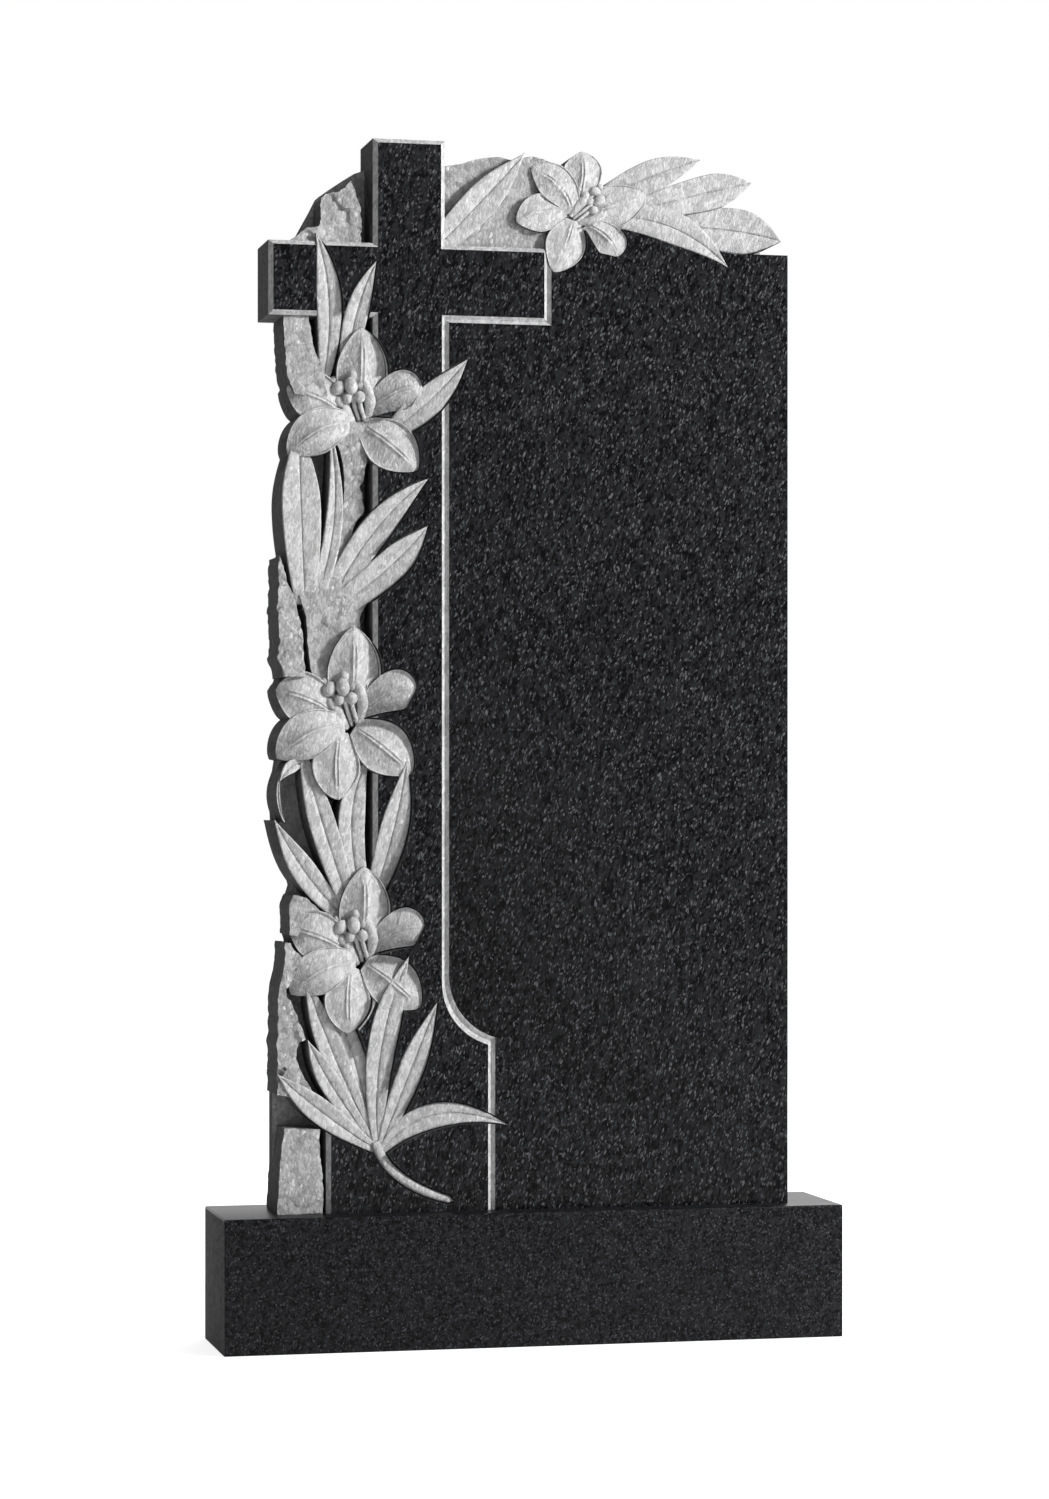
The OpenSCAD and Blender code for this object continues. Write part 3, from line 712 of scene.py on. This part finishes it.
def facets(x, z, size, seed):
    """Height from 0 to 1 of flat, tilted chips like those of broken stone."""
    out = []
    for a, b in zip(x.ravel(), z.ravel()):
        p = Vector((a / size + seed * 7.3, seed * 1.7, b / size))
        wander = 0.25 * Vector([noise.noise(0.9 * p + Vector((k, k, k))) for k in (0, 31.4, 67.9)])
        near = noise.voronoi(p + wander)[1][0]
        tilt = noise.cell_vector(near * 5.0)
        lean = (p - near).x * (tilt.x - 0.5) + (p - near).z * (tilt.z - 0.5)
        out.append(tilt.y + 0.9 * lean + 0.18 * noise.noise(p * 3.1))
    return np.array(out).reshape(x.shape)


def ragged(outline, amount, seed):
    """An outline with points close together, pushed about a little as broken stone is."""
    out = []
    for p, q in zip(outline, outline[1:] + outline[:1]):
        count = max(1, round(np.linalg.norm(q - p) / RAGGED_STEP))
        out += [p + (q - p) * k / count for k in range(count)]

    def push(p):
        return np.array([noise.noise(Vector((p[0] / 7, seed * 2.3 + k, p[1] / 7))) for k in (0, 9)])

    return [p + amount * push(p) for p in out]


def rock(plan, spec, place, step, seed):
    """One mass of broken stone: its ragged outline, kept from a block with a chipped front."""
    depth, share, outline = spec
    outline = [place(p) for p in outline]
    low, high = np.min(outline, axis=0) - ROCK_MARGIN, np.max(outline, axis=0) + ROCK_MARGIN
    middle = (low + high) / 2
    ends = (np.array((middle[0], low[1])), middle, np.array((middle[0], high[1])))
    wide = (high[0] - low[0]) / 2
    rows = max(4, int((high[1] - low[1]) / step))
    cols = np.linspace(-1, 1, max(4, int(2 * wide / step)))

    def front(t, u, x, z, half):
        chips = facets(x, z, CHIP, seed) + SMALL_SHARE * facets(x, z, SMALL_CHIP, seed + 20)
        return np.maximum(1.0, depth + plan.rough * share * (1.4 * chips - 0.9))

    strip("chipped", plan, ends, lambda t: np.full_like(t, wide), front, rows, cols, BROKEN)
    edge = ragged(outline, RAGGED_PUSH * share, seed)
    edge = [np.maximum(p, (plan.left, plan.foot)) for p in edge]
    carve(plate("rocks", plan, edge, -2 * plan.bevel, BROKEN), "INTERSECT", "chipped")


# ---- The cross ----

def flare(plan, side, steps):
    """The curve from the upright to the wide foot, on the right (1) or left (-1) side."""
    last = math.asin((plan.flare_z - plan.foot_h) / plan.flare_r)
    turns = [last * i / steps for i in range(steps + 1)]
    return [(plan.mid + side * (plan.upright_w / 2 + plan.flare_r * (1 - math.cos(a))),
             plan.foot + plan.flare_z - plan.flare_r * math.sin(a)) for a in turns]


def foot_side(plan, side, steps):
    """The cross's edge from the upright down to the plinth on one side."""
    return flare(plan, side, steps) + [(plan.mid + side * plan.foot_w / 2, plan.foot)]


# ---- Operators ----

class HEADSTONE_OT_blank(bpy.types.Operator):
    """Cut the slab's blank: the cross, the panel, the groove, the chamfers and the clearances"""

    bl_idname = "headstone.blank"
    bl_label = "Blank with cross and panel"

    def execute(self, context):
        p = Plan(context.scene)
        detail = context.scene.headstone_detail
        cross = [(p.up_r, p.arm_b), (p.arm_r, p.arm_b), (p.arm_r, p.arm_t), (p.up_r, p.arm_t),
                 (p.up_r, p.top), (p.up_l, p.top), (p.up_l, p.arm_t), (p.left, p.arm_t),
                 (p.left, p.arm_b), (p.up_l, p.arm_b)]
        left, right = [foot_side(p, side, detail.flare_steps) for side in (-1, 1)]
        panel_t = p.arm_t + p.panel_rise
        high = p.spray(PANEL_HIGH)
        panel = [(p.up_r, p.foot), (p.right, p.foot), (p.right, panel_t), (p.spray(PANEL_LOW)[0], panel_t),
                 tuple(high), (p.arm_r, high[1]), (p.arm_r, p.arm_b), (p.up_r, p.arm_b)]
        blank = plate("blank", p, cross + left + right[::-1], 0, POLISHED)
        plate("panel", p, panel, 0, POLISHED)
        carve(blank, "UNION", "panel")
        vee("cuts", p, cross[2::-1] + right, p.groove)
        vee("cuts", p, cross[2:], p.bevel)
        vee("cuts", p, cross[-1:] + left, p.bevel)
        leaves(p, detail.leaf_rows, True)
        lilies(p, detail, True)
        carve(blank, "DIFFERENCE", "cuts")
        return {"FINISHED"}


class HEADSTONE_OT_rock(bpy.types.Operator):
    """Break the rock masses and leave the stone at the back of the pockets"""

    bl_idname = "headstone.rock"
    bl_label = "Broken rock and pocket floors"

    def execute(self, context):
        plan = Plan(context.scene)
        step = context.scene.headstone_detail.rock_step / MM
        outlines = [[plan.column(p) for p in BACK_COLUMN] + [(plan.up_l + 1, plan.foot)],
                    [plan.column(p) for p in BACK_CORNER], [plan.spray(p) for p in BACK_SPRAY]]
        for outline in outlines:
            # The pocket floors take the sunk tone: painted light
            plate("rocks", plan, outline, plan.pocket_d, PAINTED_LIGHT_FLOOR)
        placed_rocks = [(s, plan.column) for s in COLUMN_ROCKS] + [(s, plan.spray) for s in SPRAY_ROCKS]
        for seed, (spec, place) in enumerate(placed_rocks):
            rock(plan, spec, place, step, seed)
        return {"FINISHED"}


class HEADSTONE_OT_leaves(bpy.types.Operator):
    """Carve the leaves and the twig"""

    bl_idname = "headstone.leaves"
    bl_label = "Leaves and twig"

    def execute(self, context):
        leaves(Plan(context.scene), context.scene.headstone_detail.leaf_rows, False)
        return {"FINISHED"}


class HEADSTONE_OT_lilies(bpy.types.Operator):
    """Carve the four lily blooms with their stamens"""

    bl_idname = "headstone.lilies"
    bl_label = "Lily blooms"

    def execute(self, context):
        lilies(Plan(context.scene), context.scene.headstone_detail, False)
        return {"FINISHED"}


class HEADSTONE_OT_slab(bpy.types.Operator):
    """Join the blank and its carving into the one piece of granite that the slab is"""

    bl_idname = "headstone.slab"
    bl_label = "Slab in one piece"

    def execute(self, context):
        blank = working("blank").objects[0]
        for group in ("rocks", "leaves", "lilies"):
            carve(blank, "UNION", group)
        tidy_mesh(blank)
        sort_walls(blank)
        working("blank").objects.unlink(blank)
        discard("blank")
        context.scene.collection.objects.link(blank)
        blank.name = "slab_carved"
        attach(blank, "root")
        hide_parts("slab")
        return {"FINISHED"}


def sort_walls(made):
    """Gives the back, and the walls that look out of the slab, the sawn finish."""
    mesh = made.data
    tree = BVHTree.FromPolygons([v.co for v in mesh.vertices], [list(f.vertices) for f in mesh.polygons])
    outside = (Vector((-1, 0, 0)), Vector((1, 0, 0)), Vector((0, 0, 1)))
    for face in mesh.polygons:
        if face.normal.y > 0.5:
            face.material_index = SAWN
        elif face.material_index in (POLISHED, PAINTED_LIGHT_FLOOR, PAINTED_WALL_TONE) and abs(face.normal.y) < FACING:
            # Walls inside the carving take the wall tone: painted shade and painted light
            face.material_index = PAINTED_WALL_TONE
            for way in outside:
                start = face.center + way * 0.0003
                if face.normal.dot(way) > 0.2 and tree.ray_cast(start, way)[0] is None:
                    face.material_index = SAWN


def tidy_mesh(made):
    """Merges what coincides and shades smoothly across all but the sharp edges."""
    shape = bmesh.new()
    shape.from_mesh(made.data)
    bmesh.ops.remove_doubles(shape, verts=shape.verts, dist=1e-6)
    bmesh.ops.dissolve_degenerate(shape, edges=shape.edges, dist=1e-6)
    shape.to_mesh(made.data)
    shape.free()
    made.data.polygons.foreach_set("use_smooth", np.ones(len(made.data.polygons), dtype=bool))
    made.data.set_sharp_from_angle(angle=math.radians(38))


class HEADSTONE_OT_plinth(bpy.types.Operator):
    """Make the plinth block with softly rounded edges"""

    bl_idname = "headstone.plinth"
    bl_label = "Plinth"

    def execute(self, context):
        edge = context.scene.headstone_sizes.plinth_edge
        shape = bmesh.new()
        bmesh.ops.create_cube(shape, size=1)
        size = plinth_high - plinth_low
        middle = (plinth_high + plinth_low) / 2
        for v in shape.verts:
            v.co = Vector((v.co.x * size.x, v.co.y * size.y, v.co.z * size.z)) + middle
        upper = [e for e in shape.edges if max(v.co.z for v in e.verts) > middle.z]
        bmesh.ops.bevel(shape, geom=upper, offset=edge, segments=4, profile=0.5, affect="EDGES")
        mesh = bpy.data.meshes.new("plinth_block")
        shape.to_mesh(mesh)
        shape.free()
        mesh.materials.append(bpy.data.materials["granite plinth"])
        mesh.materials.append(bpy.data.materials["granite sawn"])
        for face in mesh.polygons:
            face.material_index = int(abs(face.normal.x) > 0.99 or face.normal.y > 0.99)
        mesh.polygons.foreach_set("use_smooth", np.ones(len(mesh.polygons), dtype=bool))
        mesh.set_sharp_from_angle(angle=math.radians(40))
        block = bpy.data.objects.new("plinth_block", mesh)
        context.scene.collection.objects.link(block)
        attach(block, "root")
        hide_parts("plinth")
        return {"FINISHED"}


# ---- Finishes ----

class Graph:
    """A small helper that adds nodes to a tree and links them."""

    def __init__(self, tree):
        self.tree = tree

    def node(self, kind, inputs=(), **settings):
        made = self.tree.nodes.new(kind)
        for key, value in settings.items():
            setattr(made, key, value)
        for key, value in dict(inputs).items():
            if isinstance(value, bpy.types.NodeSocket):
                self.tree.links.new(value, made.inputs[key])
            else:
                made.inputs[key].default_value = value
        return made

    def math(self, operation, a, b=0.0, clamp=False):
        return self.node("ShaderNodeMath", {0: a, 1: b}, operation=operation, use_clamp=clamp).outputs[0]

    def vector(self, operation, a, b):
        """A vector made from two, or, for SCALE, from a vector and a number."""
        second = 3 if operation == "SCALE" else 1
        return self.node("ShaderNodeVectorMath", {0: a, second: b}, operation=operation).outputs[0]

    def mix(self, share, a, b):
        return self.node("ShaderNodeMix", {0: share, 6: a, 7: b}, data_type="RGBA").outputs[2]

    def ramp(self, value, low, high):
        """0 below low, 1 above high, smooth between."""
        return self.node("ShaderNodeMapRange", {"Value": value, "From Min": low, "From Max": high},
                         interpolation_type="SMOOTHSTEP").outputs["Result"]


def grain_group():
    """The grain of granite: dark and mid crystals with pale flecks among them."""
    tree = bpy.data.node_groups.new("granite grain", "ShaderNodeTree")
    sockets = {
        "Stone": (0.5, 0.5, 0.5, 1), "Dark": (0.3, 0.3, 0.3, 1), "Fleck": (0.8, 0.8, 0.8, 1),
        "Grains per Metre": 400, "Fleck Share": 0.1, "Stretch": 1.5, "Clouding": 0.1,
    }
    for name, value in sockets.items():
        kind = "NodeSocketColor" if isinstance(value, tuple) else "NodeSocketFloat"
        tree.interface.new_socket(name=name, in_out="INPUT", socket_type=kind).default_value = value
    tree.interface.new_socket(name="Colour", in_out="OUTPUT", socket_type="NodeSocketColor")
    tree.interface.new_socket(name="Height", in_out="OUTPUT", socket_type="NodeSocketFloat")
    g = Graph(tree)
    inside = g.node("NodeGroupInput").outputs
    grains = inside["Grains per Metre"]

    # Where each grain lies: drawn out along a slightly leaning line, and bent a little
    place = g.node("ShaderNodeTexCoord").outputs["Object"]
    leaning = g.node("ShaderNodeMapping", {"Vector": place, "Rotation": (0, -0.3, 0)}).outputs[0]
    flat = g.math("DIVIDE", 1.0, inside["Stretch"])
    long = g.node("ShaderNodeCombineXYZ", {"X": 1.0, "Y": 1.0, "Z": flat}).outputs[0]
    drawn = g.vector("MULTIPLY", leaning, long)
    wander = g.node("ShaderNodeTexNoise", {"Vector": drawn, "Scale": 260, "Detail": 1}).outputs["Color"]
    push = g.vector("SCALE", g.vector("SUBTRACT", wander, (0.5, 0.5, 0.5)), 0.004)
    bent = g.vector("ADD", drawn, push)

    # The stone's own tone, from small and large crystals and slow clouds
    cells = g.node("ShaderNodeTexVoronoi", {"Vector": bent, "Scale": grains}).outputs
    pick = g.node("ShaderNodeSeparateColor", {"Color": cells["Color"]}).outputs
    wide = g.math("MULTIPLY", grains, 0.42)
    large = g.node("ShaderNodeTexVoronoi", {"Vector": bent, "Scale": wide}).outputs
    large_pick = g.node("ShaderNodeSeparateColor", {"Color": large["Color"]}).outputs
    tone = g.math("ADD", g.math("MULTIPLY", pick[0], 0.6), g.math("MULTIPLY", large_pick[0], 0.4))
    cloud = g.node("ShaderNodeTexNoise", {"Vector": place, "Scale": 9, "Detail": 3}).outputs["Fac"]
    drift = g.math("MULTIPLY", g.math("SUBTRACT", cloud, 0.5), inside["Clouding"])
    share = g.math("ADD", g.ramp(tone, 0.2, 0.8), drift, True)
    body = g.mix(share, inside["Dark"], inside["Stone"])

    # The flecks, brightest in the middle of a grain
    start = g.math("SUBTRACT", 1.0, inside["Fleck Share"])
    chosen = g.node("ShaderNodeMapRange", {"Value": pick[1], "From Min": start, "From Max": 1.0})
    round_off = g.math("SUBTRACT", 1.0, g.ramp(cells["Distance"], 0.35, 0.75))
    fleck = g.math("MULTIPLY", g.math("POWER", chosen.outputs["Result"], 1.5), round_off)
    height = g.math("ADD", tone, g.math("MULTIPLY", cells["Distance"], -0.6))
    g.node("NodeGroupOutput", {"Colour": g.mix(fleck, body, inside["Fleck"]), "Height": height})
    return tree


# Each finish: grains per metre, share of flecks, roughness, shine, stretch of the grain and its
# height in metres
LOOKS = {
    "polished": (540, 0.36, 0.16, 0.06, 2.2, 0),
    "plinth": (600, 0.30, 0.30, 0.08, 1.3, 0),
    "frosted": (380, 0.14, 0.85, 0.02, 2.0, 0.0009),
    "broken": (280, 0.14, 0.90, 0.02, 1.5, 0.0014),
    "sunk": (300, 0.10, 0.80, 0.02, 1.5, 0.0008),
    "wall": (300, 0.10, 0.80, 0.02, 1.5, 0.0004),
    "sawn": (360, 0.10, 0.70, 0.02, 1.5, 0.0002),
}
CLOUDING = 0.2


def granite(name, grain, colours, look):
    """One finish of the granite."""
    grains, share, rough, shine, stretch, relief = look
    stone, dark, fleck = [(*getattr(colours, name + part), 1) for part in ("", "_dark", "_fleck")]
    made = bpy.data.materials.new("granite " + name)
    made.use_nodes = True
    made.diffuse_color = stone
    g = Graph(made.node_tree)
    surface = made.node_tree.nodes["Principled BSDF"].inputs
    mottle = g.node("ShaderNodeGroup", node_tree=grain)
    values = {"Stone": stone, "Dark": dark, "Fleck": fleck, "Grains per Metre": grains,
              "Fleck Share": share, "Stretch": stretch, "Clouding": CLOUDING}
    for key, value in values.items():
        mottle.inputs[key].default_value = value
    surface["Roughness"].default_value = rough
    surface["Specular IOR Level"].default_value = shine
    g.tree.links.new(mottle.outputs["Colour"], surface["Base Color"])
    if relief:
        raised = g.node("ShaderNodeBump", {"Height": mottle.outputs["Height"], "Distance": relief})
        g.tree.links.new(raised.outputs["Normal"], surface["Normal"])


class HEADSTONE_OT_finishes(bpy.types.Operator):
    """Make the granite's finishes: polished, frosted, broken, sunk, wall, sawn and the plinth's own; sunk
    is painted light and wall is painted shade and painted light
    """

    bl_idname = "headstone.finishes"
    bl_label = "Granite finishes"

    def execute(self, context):
        grain = grain_group()
        for name, look in LOOKS.items():
            granite(name, grain, context.scene.headstone_colours, look)
        return {"FINISHED"}


# ---- Stage, in metres ----

# Half the floor's width, how far it lies below the plinth, and how much it is lifted towards white
FLOOR_HALF, FLOOR_DROP, FLOOR_LIFT = 12.0, 0.0005, 0.8
# The surroundings' light: its level, and how much more comes from the right than from the middle
SKY_LEVEL, SKY_SLOPE = 0.355, 0.29
# Each lamp: place, size and power in watts
LAMPS = {"key lamp": ((3.1, -2.6, 2.3), 0.6, 205), "back lamp": ((1.5, 3.2, 2.6), 2.5, 60)}
LAMP_AIM = (0, 0, 0.75)
# The camera: focal length and sensor in millimetres, upward shift, place, and turn in degrees
LENS, SENSOR, SHIFT = 90.57, 36, 0.0356
CAMERA_PLACE, CAMERA_TURN = (-0.966, -4.178, 0.6075), -13.02


def lamp(name, place, size, power):
    """A soft square lamp turned to the stone."""
    data = bpy.data.lights.new(name, "AREA")
    data.shape = "SQUARE"
    data.size = size
    data.energy = power
    made = bpy.data.objects.new(name, data)
    made.location = place
    made.rotation_euler = (Vector(LAMP_AIM) - Vector(place)).to_track_quat("-Z", "Y").to_euler()
    bpy.context.scene.collection.objects.link(made)


def seen_directly(g):
    """1 for rays that show the background: from the camera, in a reflection or through glass."""
    path = g.node("ShaderNodeLightPath")
    shown = g.math("MAXIMUM", path.outputs["Is Camera Ray"], path.outputs["Is Glossy Ray"])
    return g.math("MAXIMUM", shown, path.outputs["Is Transmission Ray"])


class HEADSTONE_OT_stage(bpy.types.Operator):
    """Set the pale floor, the white surroundings, the lamps and the camera"""

    bl_idname = "headstone.stage"
    bl_label = "Stage"

    def execute(self, context):
        scene = context.scene
        mesh = bpy.data.meshes.new("floor")
        corners = [(x * FLOOR_HALF, y * FLOOR_HALF, 0) for x, y in ((-1, -1), (1, -1), (1, 1), (-1, 1))]
        mesh.from_pydata(corners, [], [(0, 1, 2, 3)])
        floor = bpy.data.objects.new("floor", mesh)
        floor.location.z = plinth_low.z - FLOOR_DROP
        scene.collection.objects.link(floor)
        pale = bpy.data.materials.new("floor")
        pale.use_nodes = True
        g = Graph(pale.node_tree)
        surface = pale.node_tree.nodes["Principled BSDF"].inputs
        surface["Base Color"].default_value = (*scene.headstone_colours.floor, 1)
        surface["Roughness"].default_value = 0.9
        surface["Specular IOR Level"].default_value = 0.0
        surface["Emission Color"].default_value = (1, 1, 1, 1)
        g.tree.links.new(g.math("MULTIPLY", seen_directly(g), FLOOR_LIFT), surface["Emission Strength"])
        mesh.materials.append(pale)

        world = bpy.data.worlds.new("surroundings")
        scene.world = world
        world.use_nodes = True
        g = Graph(world.node_tree)
        sky = world.node_tree.nodes["Background"].inputs
        sky["Color"].default_value = (1, 1, 1, 1)
        way = g.node("ShaderNodeTexCoord").outputs["Generated"]
        side = g.node("ShaderNodeSeparateXYZ", {"Vector": way}).outputs["X"]
        soft = g.math("ADD", g.math("MULTIPLY", side, SKY_SLOPE), SKY_LEVEL)
        shown = seen_directly(g)
        dimmed = g.math("MULTIPLY", soft, g.math("SUBTRACT", 1.0, shown))
        g.tree.links.new(g.math("ADD", shown, dimmed), sky["Strength"])

        for name, (place, size, power) in LAMPS.items():
            lamp(name, place, size, power)

        lens = bpy.data.cameras.new("camera")
        lens.lens = LENS
        lens.sensor_width = SENSOR
        lens.shift_y = SHIFT
        lens.clip_end = 60
        camera = bpy.data.objects.new("camera", lens)
        camera.location = CAMERA_PLACE
        camera.rotation_euler = (math.radians(90), 0, math.radians(CAMERA_TURN))
        scene.collection.objects.link(camera)
        scene.camera = camera
        scene.view_settings.view_transform = "Standard"
        return {"FINISHED"}


# ---- Add-on ----

STEPS = (
    HEADSTONE_OT_finishes, HEADSTONE_OT_blank, HEADSTONE_OT_rock, HEADSTONE_OT_leaves, HEADSTONE_OT_lilies,
    HEADSTONE_OT_slab, HEADSTONE_OT_plinth, HEADSTONE_OT_stage,
)


class HEADSTONE_PT_panel(bpy.types.Panel):
    """Lists the headstone's steps, sizes and colours"""

    bl_idname = "HEADSTONE_PT_panel"
    bl_label = "Headstone"
    bl_space_type = "VIEW_3D"
    bl_region_type = "UI"
    bl_category = "Headstone"

    def draw(self, context):
        for step in STEPS:
            self.layout.operator(step.bl_idname)
        for group in (context.scene.headstone_sizes, context.scene.headstone_detail,
                      context.scene.headstone_colours):
            for name in type(group).__annotations__:
                self.layout.prop(group, name)


CLASSES = (HeadstoneSizes, HeadstoneDetail, HeadstoneColours, *STEPS, HEADSTONE_PT_panel)


def register():
    for c in CLASSES:
        bpy.utils.register_class(c)
    bpy.types.Scene.headstone_sizes = PointerProperty(type=HeadstoneSizes)
    bpy.types.Scene.headstone_detail = PointerProperty(type=HeadstoneDetail)
    bpy.types.Scene.headstone_colours = PointerProperty(type=HeadstoneColours)


def unregister():
    del bpy.types.Scene.headstone_sizes
    del bpy.types.Scene.headstone_detail
    del bpy.types.Scene.headstone_colours
    for c in reversed(CLASSES):
        bpy.utils.unregister_class(c)


def main():
    register()
    for step in STEPS:
        area, name = step.bl_idname.split(".")
        getattr(getattr(bpy.ops, area), name)()


if __name__ == "__main__":
    main()
